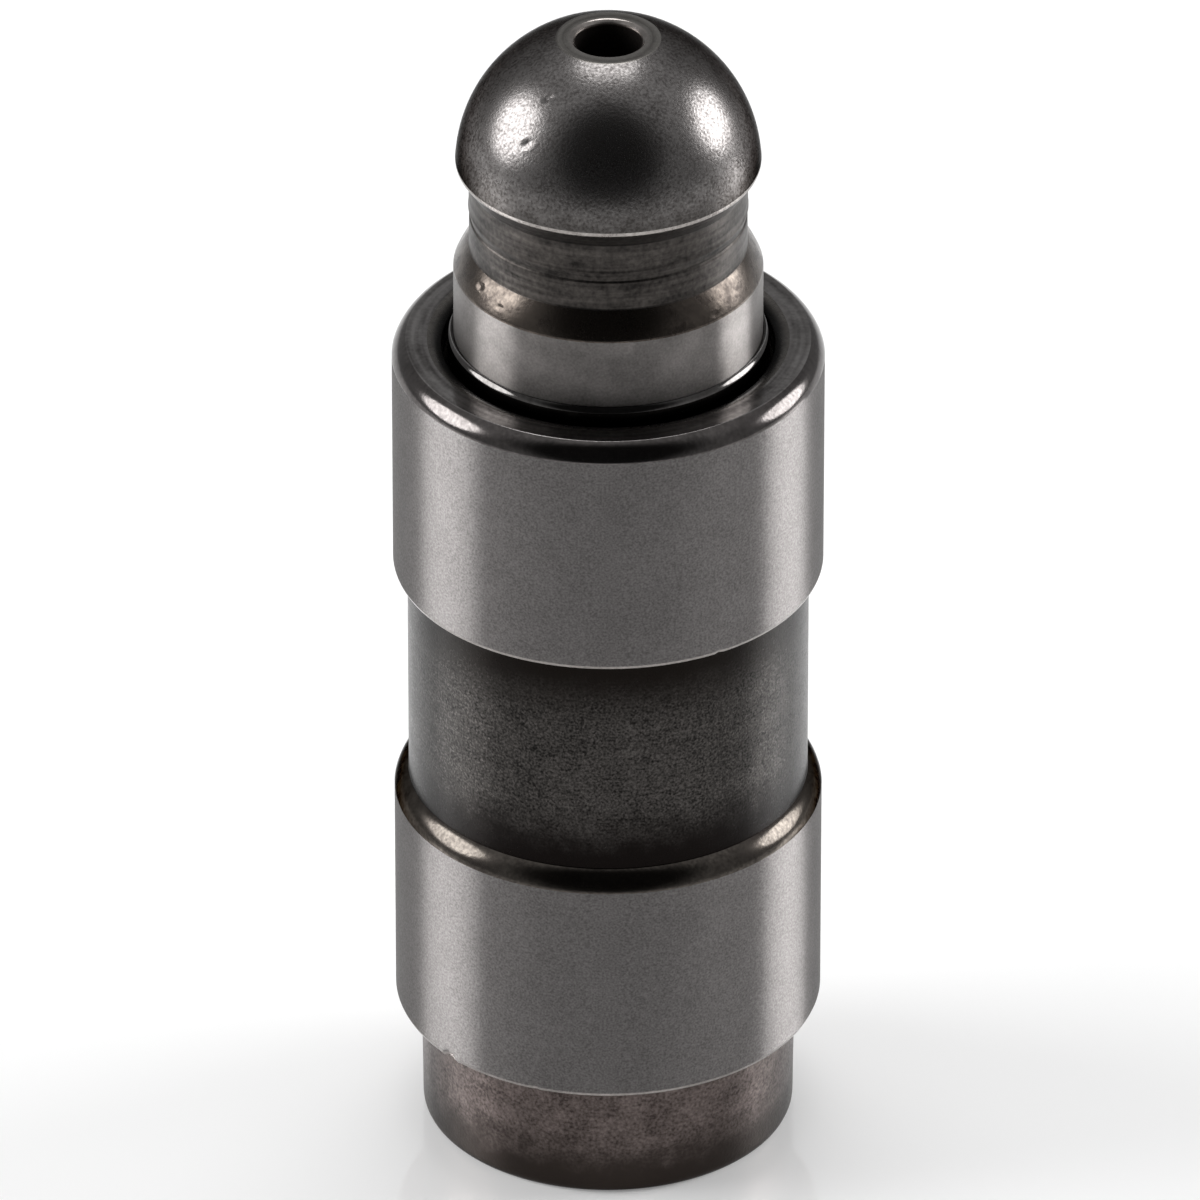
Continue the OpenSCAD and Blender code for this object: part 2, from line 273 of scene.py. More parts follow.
def steel(name, dark, light, rough, rough_spread=0.05, grain=0.11, grain_depth=0.002, mottle=0.9,
          mottle_share=0.5, lines=0.09, line_depth=0.0, line_length=1.5, line_share=0.0,
          anisotropic=0.0, turn=0.0, painted_shades=(), wander=0.8, glancing="#ffffff"):
    """A steel surface. Sizes are in mm: grain and mottle across, lines apart and depths deep.
    A painted shade is (height where it starts, height where it is full, colour): shade painted into the
    colour by height, and its edge wanders."""
    made = bpy.data.materials.new(name)
    tree = emptied(made)
    place = add(tree, "ShaderNodeTexCoord").outputs["Object"]
    axes = add(tree, "ShaderNodeSeparateXYZ", {0: place})
    flat = add(tree, "ShaderNodeCombineXYZ", {"X": axes.outputs["X"], "Y": axes.outputs["Y"]})
    radius = add(tree, "ShaderNodeVectorMath", {0: flat.outputs[0]}, operation="LENGTH")
    along = add(tree, "ShaderNodeMath", {
        0: radius.outputs["Value"], 1: axes.outputs["Z"]}, operation="ADD")
    along = add(tree, "ShaderNodeMath", {
        0: along.outputs[0], 1: line_length / lines}, operation="MULTIPLY")
    round_axis = add(tree, "ShaderNodeCombineXYZ", {
        "X": axes.outputs["X"], "Y": axes.outputs["Y"], "Z": along.outputs[0]})
    line = add(tree, "ShaderNodeTexNoise", {
        "Vector": round_axis.outputs[0], "Scale": 1 / (line_length * MM), "Detail": 1.0})
    fine = add(tree, "ShaderNodeTexNoise", {"Vector": place, "Scale": 1 / (grain * MM), "Detail": 2.0})
    cloud = add(tree, "ShaderNodeTexNoise", {"Vector": place, "Scale": 1 / (mottle * MM), "Detail": 3.0})
    blend = add(tree, "ShaderNodeMix", {
        0: mottle_share, 2: fine.outputs["Fac"], 3: cloud.outputs["Fac"]}, data_type="FLOAT")
    blend = add(tree, "ShaderNodeMix", {
        0: line_share, 2: blend.outputs[0], 3: line.outputs["Fac"]}, data_type="FLOAT")
    tone = add(tree, "ShaderNodeValToRGB", {"Fac": blend.outputs[0]})
    for end, position, shade in zip(tone.color_ramp.elements, (TONE_LOW, TONE_HIGH), (dark, light)):
        end.position = position
        end.color = linear(shade)
    colour = tone.outputs["Color"]
    # Painted shade: each entry of the height list below blends the colour towards its own by height, to
    # paint shade at the ends of a face.
    level = add(tree, "ShaderNodeMath", {
        0: cloud.outputs["Fac"], 1: wander * MM, 2: axes.outputs["Z"]}, operation="MULTIPLY_ADD")
    for start, full, shade_colour in painted_shades:
        share = add(tree, "ShaderNodeMapRange", {
            "Value": level.outputs[0], "From Min": (start + wander / 2) * MM,
            "From Max": (full + wander / 2) * MM}, interpolation_type="SMOOTHSTEP")
        colour = add(tree, "ShaderNodeMix", {
            0: share.outputs[0], 6: colour, 7: linear(shade_colour)}, data_type="RGBA").outputs[2]
    matt = add(tree, "ShaderNodeMapRange", {
        "Value": blend.outputs[0], "From Min": ROUGH_LOW, "From Max": ROUGH_HIGH,
        "To Min": rough + rough_spread, "To Max": rough - rough_spread})
    height = add(tree, "ShaderNodeMath", {
        0: fine.outputs["Fac"], 1: grain_depth * MM}, operation="MULTIPLY")
    height = add(tree, "ShaderNodeMath", {
        0: line.outputs["Fac"], 1: line_depth * MM, 2: height.outputs[0]}, operation="MULTIPLY_ADD")
    # The height is in metres already, so the bump's own distance is 1.
    bump = add(tree, "ShaderNodeBump", {"Height": height.outputs[0], "Distance": 1.0})
    tangent = add(tree, "ShaderNodeTangent", direction_type="RADIAL", axis="Z")
    shader = add(tree, "ShaderNodeBsdfPrincipled", {
        "Base Color": colour, "Metallic": 1.0, "Roughness": matt.outputs[0],
        "Specular Tint": linear(glancing), "Normal": bump.outputs[0], "Tangent": tangent.outputs[0],
        "Anisotropic": anisotropic, "Anisotropic Rotation": turn})
    add(tree, "ShaderNodeOutputMaterial", {"Surface": shader.outputs[0]})
    return made


print("one function makes every steel finish")

# %% [markdown]
# The ground lands run in the cylinder head. A grinding wheel leaves lines round them, so they mirror
# sharply round the axis and smear up and down: upright bright bands with clean sides. The groove,
# the base and the top ring aren't ground. They keep the darker skin of heat treatment, with a fine
# sandy grain, and the base has a brown cast from the oil that burnt on in the furnace. The
# countersink of the mouth is painted black, as shade between the body and the stem.

# %% Finishes of the body
# A quarter turn lays the smear of an anisotropic steel along the axis.
QUARTER = 0.25

# Ground: upright bands of light that stay bright to the land's ends.
ground_steel = steel("bearing_steel_ground", "#6d6a69", "#898685", rough=0.41, rough_spread=0.03,
                     grain=0.06, grain_depth=0.0003, mottle_share=0.15, line_depth=0.0006,
                     anisotropic=1.0, turn=QUARTER, glancing="#eaeaea")
# Furnace grey: a dim, sandy face, painted black at both ends of the groove as shade in its corners.
groove_steel = steel("bearing_steel_furnace_grey", "#141312", "#4b4846", rough=0.31, rough_spread=0.07,
                     grain=0.07, grain_depth=0.003, mottle=0.6, mottle_share=0.22, line_length=3.0,
                     line_share=0.12, painted_shades=[(13.2, 11.3, "#141110"), (15.4, 17.4, "#171412")])
# Furnace brown: coarser and warmer, and painted darker towards the foot, as shade near the floor.
base_steel = steel("bearing_steel_furnace_brown", "#38312f", "#6d6360", rough=0.36, rough_spread=0.07,
                   grain=0.09, grain_depth=0.005, mottle=0.7, mottle_share=0.35, line_share=0.1,
                   painted_shades=[(2.1, 0.5, "#332d2a")], wander=1.4)
# Turned: fine rings on a dark face that mirrors the stem.
ring_steel = steel("bearing_steel_turned_black", "#504d4c", "#979493", rough=0.15, rough_spread=0.04,
                   grain=0.12, grain_depth=0.001, lines=0.16, line_depth=0.0025, line_length=3.0,
                   line_share=0.5)
# Tumbled: a glossy round that draws each soft box into a short streak.
shoulder_steel = steel("bearing_steel_tumbled_edge", "#4c4948", "#6a6665", rough=0.14, rough_spread=0.05,
                       grain=0.12, grain_depth=0.0015, lines=0.1, line_depth=0.001, line_length=2.0)
# Burnt: the same streaks, browner, and dark at the sides.
ledge_steel = steel("bearing_steel_burnt_edge", "#3b3734", "#5e5954", rough=0.17, rough_spread=0.05,
                    grain=0.1, grain_depth=0.0015, mottle=0.5, lines=0.1, line_depth=0.002,
                    line_length=2.0, glancing="#8c8c8c")
# Brushed: a thin light line where an edge was broken.
edge_steel = steel("bearing_steel_brushed_edge", "#7d7975", "#a09a97", rough=0.18, rough_spread=0.04,
                   grain=0.1, grain_depth=0.0015, lines=0.07, line_depth=0.002)
# Honed: plain grey, with a band painted black at the mouth as shade between the body and the stem.
bore_steel = steel("bearing_steel_honed", "#534f4d", "#6e6b67", rough=0.28, lines=0.08, line_depth=0.002,
                   painted_shades=[(24.94, 24.78, "#0b0a0a"), (24.6, 24.4, "#605d5a")], wander=0.05)
print("body finishes:", [m.name for m in bpy.data.materials if m.name.startswith("bearing")])

# %% [markdown]
# The plunger's ball was tumbled: tiny dents blur its reflections into soft spots with a mottled rim.
# Towards its lower edge it is painted darker, as shade. Its stem was polished
# round the axis and shows upright bands like the lands do. The neck between them was only turned,
# so the tool's lines show round it, with a brown cast.

# %% Finishes of the plunger
# Tumbled: soft, grainy highlights, and painted darker towards the ball's lower edge, as shade.
ball_steel = steel("case_hardened_steel_tumbled", "#504d4c", "#848180", rough=0.26, rough_spread=0.07,
                   grain=0.08, grain_depth=0.0045, mottle=0.5, mottle_share=0.3,
                   painted_shades=[(32.2, 29.6, "#35322f")], wander=0.4, glancing="#7c7c7c")
# Faced: rings of the cutting tool round the oil hole.
flat_steel = steel("case_hardened_steel_faced", "#5a5754", "#8d8a86", rough=0.26, rough_spread=0.05,
                   grain=0.09, grain_depth=0.002, lines=0.13, line_depth=0.004, line_length=3.0,
                   line_share=0.55)
# A pale line along the ball's lower edge: the small chamfer's own reflection, brightened by a paler colour
# as painted highlight.
lip_steel = steel("case_hardened_steel_painted_highlight", "#807b78", "#aca7a3", rough=0.26, rough_spread=0.06,
                  grain=0.1, grain_depth=0.003)
# Turned: dull, with streaks round the neck.
neck_steel = steel("case_hardened_steel_turned", "#252322", "#524e4b", rough=0.42, rough_spread=0.06,
                   grain=0.13, grain_depth=0.004, mottle=0.8, lines=0.14, line_depth=0.006,
                   line_length=2.5, line_share=0.35)
# Polished: upright bands with slightly sharper sides than on the ground lands.
stem_steel = steel("case_hardened_steel_polished", "#6f6c6a", "#898583", rough=0.34, rough_spread=0.03,
                   grain=0.07, grain_depth=0.0004, line_depth=0.0006, anisotropic=1.0, turn=QUARTER)
# Worn: blotchy and brown, with bright patches at the sides.
flare_steel = steel("case_hardened_steel_worn", "#37322f", "#5e5751", rough=0.24, rough_spread=0.08,
                    grain=0.1, grain_depth=0.003, mottle=0.45, mottle_share=0.6, lines=0.12,
                    line_depth=0.002)
# Drilled: dull rings inside the oil hole.
drilled_steel = steel("case_hardened_steel_drilled", "#413d3a", "#5f5956", rough=0.38, lines=0.15,
                      line_depth=0.006)
print("plunger finishes:", [m.name for m in bpy.data.materials if m.name.startswith("case")])

# %% [markdown]
# ## Turning a profile
# The body and the plunger were made on a lathe, so they are made that way here too: a profile of
# radius and height is turned round the axis. A corner has its own small radius, because a real edge
# is never sharp and catches a thin line of light. A stretch of the profile names its finish. Long
# stretches are divided, so that a dent has vertices to push in.

# %% Profile helpers
TINY = 1e-6
CORNER_POINTS = 6
# A corner takes less than half of each side, so that two corners never meet.
CORNER_SHARE = 0.45


def arc(centre_r, centre_z, radius, start, end, count):
    """Points on an arc of a profile, with angles in degrees from straight out."""
    turns = np.radians(np.linspace(start, end, count))
    return [(centre_r + radius * math.cos(a), centre_z + radius * math.sin(a)) for a in turns]


def bulge(start, end, low, high, count=12):
    """An arc between two points whose surface leans from one angle to another, in degrees from upright."""
    turns = np.radians(np.linspace(low, high, count))
    curve = np.stack([np.cos(turns), np.sin(turns)], 1)
    curve = (curve - curve[0]) / (curve[-1] - curve[0])
    return [tuple(np.array(start) + c * (np.array(end) - np.array(start))) for c in curve]


def profile(stretches, closed=False):
    """Joins (finish, corner radius, points) to points and the finish of each step between them.
    The corner radius rounds every point of that stretch but those of an arc, which has radius 0."""
    corners = [(p, r, finish) for finish, r, points in stretches for p in points]
    out, finishes = [], []
    for i, (p, r, finish) in enumerate(corners):
        is_end = not closed and i in (0, len(corners) - 1)
        before, after = (np.subtract(corners[(i + d) % len(corners)][0], p) for d in (-1, 1))
        cut = 0 if is_end else min(r, CORNER_SHARE * np.hypot(*before), CORNER_SHARE * np.hypot(*after))
        if cut < TINY:
            steps = [np.array(p)]
        else:
            a, b = (p + cut * v / np.hypot(*v) for v in (before, after))
            steps = [(1 - t) ** 2 * a + 2 * t * (1 - t) * np.array(p) + t * t * b
                     for t in np.linspace(0, 1, CORNER_POINTS)]
        out += steps
        finishes += [finish] * len(steps)
    return out, finishes


def divided(points, finishes, spacing, closed=False):
    """The same profile with no step longer than its finish's spacing."""
    out, names = [], []
    last = len(points) if closed else len(points) - 1
    for i in range(last):
        a, b = points[i], points[(i + 1) % len(points)]
        count = max(1, math.ceil(np.hypot(*(b - a)) / spacing.get(finishes[i], math.inf)))
        out += [a + (b - a) * k / count for k in range(count)]
        names += [finishes[i]] * count
    if not closed:
        out.append(points[-1])
    return out, names


print("a quarter round:", [tuple(round(float(v), 2) for v in p) for p in arc(0, 0, 1, 0, 90, 3)])

# %% The lathe
SIDES = 256


def turned(name, points, names, finishes, closed=False):
    """A mesh turned from a profile in mm, with a material for each finish."""
    turns = full_turn(SIDES) - math.pi / 2
    verts, rows = [], []
    for r, z in points:
        if r < TINY:
            rows.append([len(verts)] * SIDES)
            verts.append((0, 0, z * MM))
        else:
            rows.append(list(range(len(verts), len(verts) + SIDES)))
            verts += [(r * math.cos(a) * MM, r * math.sin(a) * MM, z * MM) for a in turns]
    faces, kinds, order = [], [], list(finishes)
    for i, kind in enumerate(names):
        low, high = rows[i], rows[(i + 1) % len(rows)]
        for k in range(SIDES):
            n = (k + 1) % SIDES
            faces.append(list(dict.fromkeys((low[k], low[n], high[n], high[k]))))
            kinds.append(order.index(kind))
    mesh = bpy.data.meshes.new(name)
    mesh.from_pydata(verts, [], faces)
    for finish in finishes.values():
        mesh.materials.append(finish)
    mesh.polygons.foreach_set("material_index", kinds)
    mesh.validate()
    return placed(name, mesh)


print("the lathe turns", SIDES, "sides")

# %% [markdown]
# ## Drilling and dents
# A hole is drilled after the turning, so here a round bar is cut out of the turned mesh by a Boolean.
# Handling leaves small dents: the vertices near a spot are pushed in along their normals, with a low
# burr round them as in real metal. Both are geometry, because a dent in an edge has to show in the
# outline too, where a bump doesn't.

# %% The drill
SHARP_EDGE = math.radians(35)


def drill(finishes, finish, radius, start, end, sides=48):
    """A closed round bar in mm from one point to another, to cut a hole with. It has the materials of
    the piece that it cuts, and leaves one of them on the wall of the hole."""
    start, end = Vector(start), Vector(end)
    across = (end - start).to_track_quat("Z", "Y")
    ring = [across @ Vector((radius * math.cos(a), radius * math.sin(a), 0)) for a in full_turn(sides)]
    verts = [(p + q) * MM for p in (start, end) for q in ring]
    faces = [(k, (k + 1) % sides, sides + (k + 1) % sides, sides + k) for k in range(sides)]
    faces += [tuple(range(sides))[::-1], tuple(range(sides, 2 * sides))]
    mesh = bpy.data.meshes.new("drill")
    mesh.from_pydata(verts, [], faces)
    for material in finishes.values():
        mesh.materials.append(material)
    mesh.polygons.foreach_set("material_index", [list(finishes).index(finish)] * len(faces))
    return placed("drill", mesh)


def bored(piece, cutters):
    """Cuts drilled holes, given as closed meshes, out of a piece and smooths its shading."""
    for cutter in cutters:
        cut = piece.modifiers.new("drill", "BOOLEAN")
        cut.operation = "DIFFERENCE"
        cut.solver = "EXACT"
        cut.object = cutter
    bpy.context.view_layer.update()
    made = bpy.data.meshes.new_from_object(piece.evaluated_get(bpy.context.evaluated_depsgraph_get()))
    piece.modifiers.clear()
    piece.data = made
    for cutter in cutters:
        bpy.data.objects.remove(cutter)
    made.shade_smooth()
    made.set_sharp_from_angle(angle=SHARP_EDGE)


print("edges sharper than", round(math.degrees(SHARP_EDGE)), "degrees stay sharp")

# %% Dents
# What a dent pushes out stands round it as a low burr: its height as a share of the dent's depth,
# and half its width as a share of the dent's size.
BURR_HEIGHT, BURR_WIDTH = 0.25, 0.35


def dented(piece, dents):
    """Pushes small dents in: (turn from the front in degrees, radius, height, size, depth), all in mm."""
    mesh = piece.data
    spots = np.zeros(len(mesh.vertices) * 3, np.float32)
    mesh.vertices.foreach_get("co", spots)
    spots = spots.reshape(-1, 3).astype(float)
    normals = np.array([v.normal for v in mesh.vertices])
    for turn, r, z, size, depth in dents:
        a = math.radians(turn)
        middle = np.array((r * math.sin(a), -r * math.cos(a), z)) * MM
        away = np.linalg.norm(spots - middle, axis=1) / (size * MM)
        hollow = np.clip(1 - away ** 2, 0, 1) ** 2
        burr = BURR_HEIGHT * np.clip(1 - ((away - 1.0) / BURR_WIDTH) ** 2, 0, 1)
        spots -= normals * ((hollow - burr) * depth * MM)[:, None]
    mesh.vertices.foreach_set("co", spots.astype(np.float32).ravel())
    mesh.update()


print("a dent's burr is", BURR_HEIGHT, "of its depth high")

# %% [markdown]
# ## Body
# The body is one cup: a base, two ground lands with the oil groove between them, and a bore for the
# plunger. From the groove a rounded step leads out to the lower land. The oil comes in through one
# drilled hole, which is cut by a Boolean after the turning, as the drill comes after the lathe.

# %% Body profile
BODY_R, GROOVE_R, BASE_R, FOOT_R = 6.0, 5.6, 5.275, 5.235
LOWER_Z, GROOVE_Z, UPPER_Z, BODY_H = 3.7, 10.45, 17.75, 24.9
CHAMFER_W, CHAMFER_H = 0.06, 0.14
LEDGE_H = 0.58
SHOULDER_W, SHOULDER_H = 0.4, 0.5
MOUTH_R, MOUTH_DEPTH = 4.9, 0.17
BORE_R, BORE_LOW = 4.6, 6.85
RELIEF_R, RELIEF_LOW = 4.8, 6.05
CHAMBER_R, CHAMBER_LOW = 3.75, 2.6
# The ring sits in a round channel of the bore: the channel's middle, radius, half opening and half angle.
SEAT_R, SEAT_Z, SEAT_ROUND, SEAT_HALF, SEAT_ANGLE = 4.695, 23.65, 0.38, 0.368, 104.5

ledge_foot, ledge_top = (BODY_R, GROOVE_Z), (GROOVE_R, GROOVE_Z + LEDGE_H)
shoulder_foot, shoulder_top = (BODY_R, BODY_H - SHOULDER_H), (BODY_R - SHOULDER_W, BODY_H)
body_points, body_names = profile([
    ("base", 0, [(0, 0)]),
    ("base", 0.22, [(FOOT_R, 0)]),
    ("base", 0.1, [(BASE_R, LOWER_Z)]),
    ("edge", 0.03, [(BODY_R - CHAMFER_W, LOWER_Z)]),
    ("land", 0.03, [(BODY_R, LOWER_Z + CHAMFER_H)]),
    ("ledge", 0.02, [ledge_foot]),
    ("ledge", 0, bulge(ledge_foot, ledge_top, low=14, high=58, count=18)[1:-1]),
    ("groove", 0.02, [ledge_top]),
    ("groove", 0.12, [(GROOVE_R, UPPER_Z)]),
    ("edge", 0.03, [(BODY_R - CHAMFER_W, UPPER_Z)]),
    ("land", 0.03, [(BODY_R, UPPER_Z + CHAMFER_H)]),
    ("shoulder", 0.02, [shoulder_foot]),
    ("shoulder", 0, bulge(shoulder_foot, shoulder_top, low=14, high=62, count=16)[1:-1]),
    ("ring", 0.025, [shoulder_top]),
    ("bore", 0.12, [(MOUTH_R, BODY_H)]),
    ("bore", 0.05, [(BORE_R, BODY_H - MOUTH_DEPTH)]),
    ("bore", 0, [(BORE_R, SEAT_Z + SEAT_HALF)]),
    ("bore", 0, arc(SEAT_R, SEAT_Z, SEAT_ROUND, SEAT_ANGLE, -SEAT_ANGLE, count=16)[1:-1]),
    ("bore", 0, [(BORE_R, SEAT_Z - SEAT_HALF)]),
    ("bore", 0, [(BORE_R, BORE_LOW), (RELIEF_R, BORE_LOW), (RELIEF_R, RELIEF_LOW)]),
    ("bore", 0.05, [(CHAMBER_R, RELIEF_LOW), (CHAMBER_R, CHAMBER_LOW)]),
    ("bore", 0, [(0, CHAMBER_LOW)]),
])
BODY_SPACING = {"base": 0.08, "land": 0.2, "groove": 0.2, "ring": 0.12, "ledge": 0.1, "shoulder": 0.1}
body_points, body_names = divided(body_points, body_names, BODY_SPACING)
print("body profile:", len(body_points), "points")

# %% Body
FEED_R, FEED_Z = 0.9, 14.2
FEED_START, FEED_END = (0, 3, FEED_Z), (0, 8, FEED_Z)
LAND_DENTS = [(-48.2, 6.0, 3.8, 0.3, 0.1), (31, 6.0, 17.8, 0.22, 0.04), (-20, 6.0, 3.78, 0.2, 0.03)]
# The scratch on the base is a row of small dents that falls a little as it goes round.
SCRATCH_TURNS = np.arange(9.7, 18.3, 0.8)
SCRATCH_R, SCRATCH_Z, SCRATCH_FALL, SCRATCH_SIZE, SCRATCH_DEPTH = 5.25, 1.35, 0.013, 0.12, 0.015

body_finishes = {"base": base_steel, "land": ground_steel, "edge": edge_steel, "groove": groove_steel,
                 "ledge": ledge_steel, "shoulder": shoulder_steel, "ring": ring_steel, "bore": bore_steel}
body = turned("lifter_body", body_points, body_names, body_finishes)
bored(body, [drill(body_finishes, "bore", FEED_R, FEED_START, FEED_END)])
scratch = [(a, SCRATCH_R, SCRATCH_Z - SCRATCH_FALL * (a - SCRATCH_TURNS[0]), SCRATCH_SIZE, SCRATCH_DEPTH)
           for a in SCRATCH_TURNS]
dented(body, LAND_DENTS + scratch)
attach(body, "housing")
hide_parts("body")
print("body:", len(body.data.polygons), "faces")

# %% [markdown]
# ## Ball plunger
# The plunger shows only its polished stem, its clip neck and its ball. Below, it guides in the bore
# and is hollow, with an oil hole up through the ball and two ports at its foot.

# %% Plunger profile
STEM_R, NECK_R, BALL_R, BALL_Z = 4.285, 3.85, 4.22, 30.45
FLARE_Z, NECK_Z, UNDERCUT_Z, BEVEL_Z = 27.27, 28.05, 28.87, 30.05
BALL_EDGE_H, LIP_W, LIP_H = 0.12, 0.01, 0.13
OIL_R, FLAT_R = 0.93, 1.42
OIL_EDGE_W, OIL_EDGE_H = 0.13, 0.1
FOOT_Z, GUIDE_LOW, GUIDE_TOP = 15.22, 18.5, 23.3
GUIDE_R, WAIST_R, GUIDE_EDGE = 4.58, 4.2, 0.12
STORE_R, STORE_TOP = 3.2, 25.65
GALLERY_R, GALLERY_LOW, GALLERY_TOP, OIL_LOW = 2.0, 26.85, 28.63, 29.245
# The undercut's corners: how far they stand out from the neck, and how high above UNDERCUT_Z.
UNDERCUT = [(-0.01, 0.0), (-0.05, 0.05), (0.02, 0.32), (0.0, 0.4)]

# The arc of the ball starts a little above its lower edge, so that the lip has room for its round.
LIP_TURN = 4
ball_low = math.degrees(math.asin(BALL_EDGE_H / BALL_R)) + LIP_TURN
ball_high = math.degrees(math.acos(FLAT_R / BALL_R))
top_z = BALL_Z + BALL_R * math.sin(math.radians(ball_high))
undercut = [(NECK_R + out, UNDERCUT_Z + up) for out, up in UNDERCUT]
plunger_points, plunger_names = profile([
    ("guide", 0.03, [(STORE_R, FOOT_Z), (WAIST_R - GUIDE_EDGE, FOOT_Z), (WAIST_R, FOOT_Z + GUIDE_EDGE)]),
    ("guide", 0.03, [(WAIST_R, GUIDE_LOW - (GUIDE_R - WAIST_R)), (GUIDE_R, GUIDE_LOW)]),
    ("guide", 0.03, [(GUIDE_R, GUIDE_TOP - GUIDE_EDGE), (GUIDE_R - GUIDE_EDGE, GUIDE_TOP)]),
    ("stem", 0.03, [(STEM_R, GUIDE_TOP)]),
    ("flare", 0.04, [(STEM_R, FLARE_Z)]),
    ("flare", 0, bulge((STEM_R, FLARE_Z), (NECK_R, NECK_Z), low=22, high=36)[1:-1]),
    ("neck", 0.06, [(NECK_R, NECK_Z)]),
    ("neck", 0.02, undercut[:2]),
    ("neck", 0.03, undercut[2:] + [(NECK_R, BEVEL_Z)]),
    ("lip", 0.04, [(BALL_R - LIP_W, BALL_Z + BALL_EDGE_H)]),
    ("ball", 0.03, [(BALL_R, BALL_Z + BALL_EDGE_H + LIP_H)]),
    ("ball", 0, arc(0, BALL_Z, BALL_R, ball_low, ball_high, count=64)[:-1]),
    ("flat", 0.05, [(FLAT_R, top_z)]),
    ("rim", 0.04, [(OIL_R + OIL_EDGE_W, top_z)]),
    ("inside", 0.04, [(OIL_R, top_z - OIL_EDGE_H)]),
    ("inside", 0, [(OIL_R, OIL_LOW), (GALLERY_R, GALLERY_TOP), (GALLERY_R, GALLERY_LOW)]),
    ("inside", 0, [(STORE_R, STORE_TOP)]),
], closed=True)
PLUNGER_SPACING = {"stem": 0.15, "neck": 0.07, "flare": 0.07, "ball": 0.12, "flat": 0.1, "inside": 2.0}
plunger_points, plunger_names = divided(plunger_points, plunger_names, PLUNGER_SPACING, closed=True)
print("plunger profile:", len(plunger_points), "points, up to", round(top_z, 2), "mm")

# %% Ball plunger
PORT_R, PORT_Z = 0.6, 16.86
PORT_START, PORT_END = Vector((2, 0, 0)), Vector((6, 0, 0))
BALL_DENTS = [
    (-39, 2.712, 33.683, 0.14, 0.03),
    (-37, 2.627, 33.753, 0.12, 0.025),
    (-38.5, 3.579, 32.686, 0.17, 0.035),
    (-40.5, 3.625, 32.61, 0.12, 0.025),
    (-36.5, 3.52, 32.78, 0.11, 0.02),
]
FLARE_DENTS = [(-60, 4.04, 27.7, 0.16, 0.03), (-46, 4.15, 27.55, 0.13, 0.02), (44, 4.2, 27.4, 0.13, 0.02)]

plunger_finishes = {"guide": ground_steel, "stem": stem_steel, "neck": neck_steel, "flare": flare_steel,
                    "lip": lip_steel, "flat": flat_steel, "rim": edge_steel, "ball": ball_steel,
                    "inside": drilled_steel}
plunger = turned("ball_head_plunger", plunger_points, plunger_names, plunger_finishes, closed=True)
port_middle = Vector((0, 0, PORT_Z))
ports = []
for side in (-1, 1):
    start, end = port_middle + side * PORT_START, port_middle + side * PORT_END
    ports.append(drill(plunger_finishes, "inside", PORT_R, start, end))
bored(plunger, ports)
dented(plunger, BALL_DENTS + FLARE_DENTS)
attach(plunger, "ball_head")
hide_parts("ball_plunger")
print("plunger:", len(plunger.data.polygons), "faces")

# %% [markdown]
# ## Mouth collar
# The photograph shows a bright sliver on each side of the stem's foot. A small hollow close to the
# stem, level with the mouth, draws a soft box out like that. What carries it on the real lifter
# can't be seen, so it is a guess here: a thin collar of spring steel that sits on the retaining ring.
# It is turned from a profile like the rest, because the hollow has to be smooth to shine.

# %% Mouth collar
COLLAR_IN, COLLAR_OUT, COLLAR_LOW = 4.315, 4.58, 24.005
COLLAR_SIDE_H, COLLAR_SLOPE_W, COLLAR_SLOPE_H = 0.3, 0.15, 0.4
HOLLOW_R, HOLLOW_Z, HOLLOW_OUT = 0.3, 25.3, 0.295

# Polished: dark, with one sharp glint of each soft box in the hollow.
collar_steel = steel("spring_steel_polished", "#4c4a49", "#656362", rough=0.1, rough_spread=0.03,
                     grain_depth=0.0006, line_depth=0.0008)
hollow = arc(COLLAR_IN + HOLLOW_OUT, HOLLOW_Z, HOLLOW_R, start=232, end=198, count=20)
collar_top = hollow[-1][1]
collar_points, collar_names = profile([
    ("collar", 0.03, [(COLLAR_IN, COLLAR_LOW), (COLLAR_OUT, COLLAR_LOW)]),
    ("collar", 0.03, [(COLLAR_OUT, COLLAR_LOW + COLLAR_SIDE_H)]),
    ("collar", 0.03, [(COLLAR_IN + COLLAR_SLOPE_W, COLLAR_LOW + COLLAR_SLOPE_H)]),
    ("collar", 0, hollow),
    ("collar", 0, [(COLLAR_IN, collar_top)]),
], closed=True)
collar = turned("mouth_collar", collar_points, collar_names, {"collar": collar_steel}, closed=True)
bored(collar, [])
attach(collar, "housing")
print("collar:", len(collar.data.polygons), "faces, from", COLLAR_LOW, "to", round(collar_top, 3), "mm")

# %% [markdown]
# ## Inner parts
# The ring is bent from spring wire, the lower plunger is lapped to fit the bore, the ball cage is
# pressed from sheet and the check ball is a small bearing ball. All four are hidden in the body, so
# they keep their CAD shapes and only take finishes of their own.

# %% Finishes of the inner parts
# Lapped: an even, satin grey.
lapped_steel = steel("alloy_steel_lapped", "#6a6866", "#7e7b79", rough=0.2, line_depth=0.0006)
# Pressed sheet: paler and softly clouded.
sheet_steel = steel("sheet_steel_pressed", "#706d6a", "#8d8a87", rough=0.32, grain=0.12, mottle=1.2)
# Polished chrome steel: the brightest, close to a mirror.
bearing_ball_steel = steel("chrome_steel_polished", "#a3a3a5", "#bdbdc0", rough=0.08, grain_depth=0.0004)
# Drawn wire: a plain dull grey with a fine grain.
wire_steel = steel("spring_wire_drawn", "#615f5d", "#84827f", rough=0.3, grain=0.1, mottle=0.5)
inner_finishes = {"retaining_ring": wire_steel, "leakdown_plunger": lapped_steel,
                  "ball_retainer": sheet_steel, "check_ball": bearing_ball_steel}
for node_name, finish in inner_finishes.items():
    shown = frame["nodes"][node_name].data
    shown.materials.clear()
    shown.materials.append(finish)
print("inner parts:", list(inner_finishes))
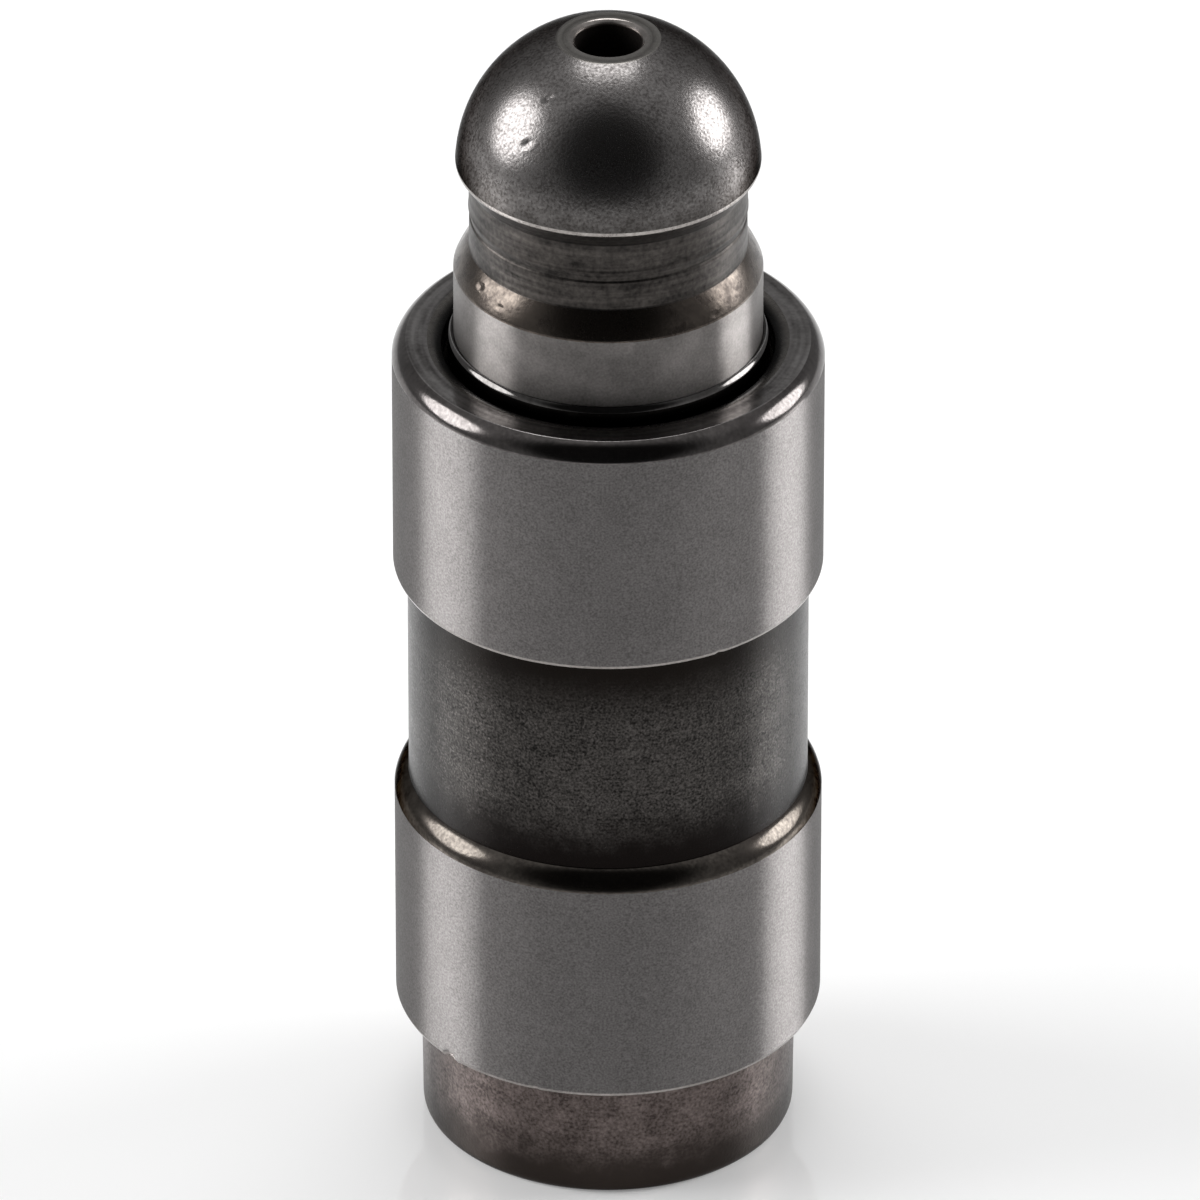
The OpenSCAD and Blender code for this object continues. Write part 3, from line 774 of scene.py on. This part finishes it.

# %% [markdown]
# ## Springs
# A coil is a circle carried along a helix. Its end turns close up and are ground flat, so the height
# is held between the two seats. Both springs are built here with even rings of vertices, which would
# stay even if they were squeezed.

# %% Springs
STEPS_A_TURN, WIRE_SIDES = 72, 20
COIL_EDGE = math.radians(50)
# As shares of the wire: how high above its seat the end turn's middle starts, and how far it climbs.
END_RISE, END_PITCH = 0.2, 1.03


def coil(name, wire, mean_r, low, high, turns):
    """A compression spring in mm with closed, flattened ends."""
    first, last, closed = low + END_RISE * wire, high - END_RISE * wire, END_PITCH * wire
    pitch = (last - first - 2 * closed) / (turns - 2)
    count = round(turns * STEPS_A_TURN)
    verts = []
    for i in range(count + 1):
        u = turns * i / count
        if u < 1:
            mid = first + closed * u
        elif u > turns - 1:
            mid = last - closed * (turns - u)
        else:
            mid = first + closed + pitch * (u - 1)
        a = 2 * math.pi * u
        for b in full_turn(WIRE_SIDES):
            r = mean_r + wire / 2 * math.cos(b)
            z = min(max(mid + wire / 2 * math.sin(b), low), high)
            verts.append((r * math.cos(a) * MM, r * math.sin(a) * MM, z * MM))
    rows = [range(i * WIRE_SIDES, (i + 1) * WIRE_SIDES) for i in range(count + 1)]
    faces = []
    for here, after in zip(rows, rows[1:]):
        for j in range(WIRE_SIDES):
            n = (j + 1) % WIRE_SIDES
            faces.append((here[j], here[n], after[n], after[j]))
    faces += [tuple(rows[0])[::-1], tuple(rows[-1])]
    mesh = bpy.data.meshes.new(name)
    mesh.from_pydata(verts, [], faces)
    mesh.materials.append(wire_steel)
    mesh.shade_smooth()
    mesh.set_sharp_from_angle(angle=COIL_EDGE)
    return placed(name, mesh)


plunger_spring = coil("plunger_coil", wire=0.7, mean_r=3.0, low=CHAMBER_LOW, high=9.8, turns=4.75)
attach(plunger_spring, "housing")
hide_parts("plunger_spring")
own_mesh(plunger_spring)

spring_low, spring_high = (corner.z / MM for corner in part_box("check_ball_spring"))
check_spring = coil("check_ball_coil", wire=0.2, mean_r=0.95, low=spring_low, high=spring_high, turns=4.5)
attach(check_spring, "lower_plunger")
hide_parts("check_ball_spring")
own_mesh(check_spring)
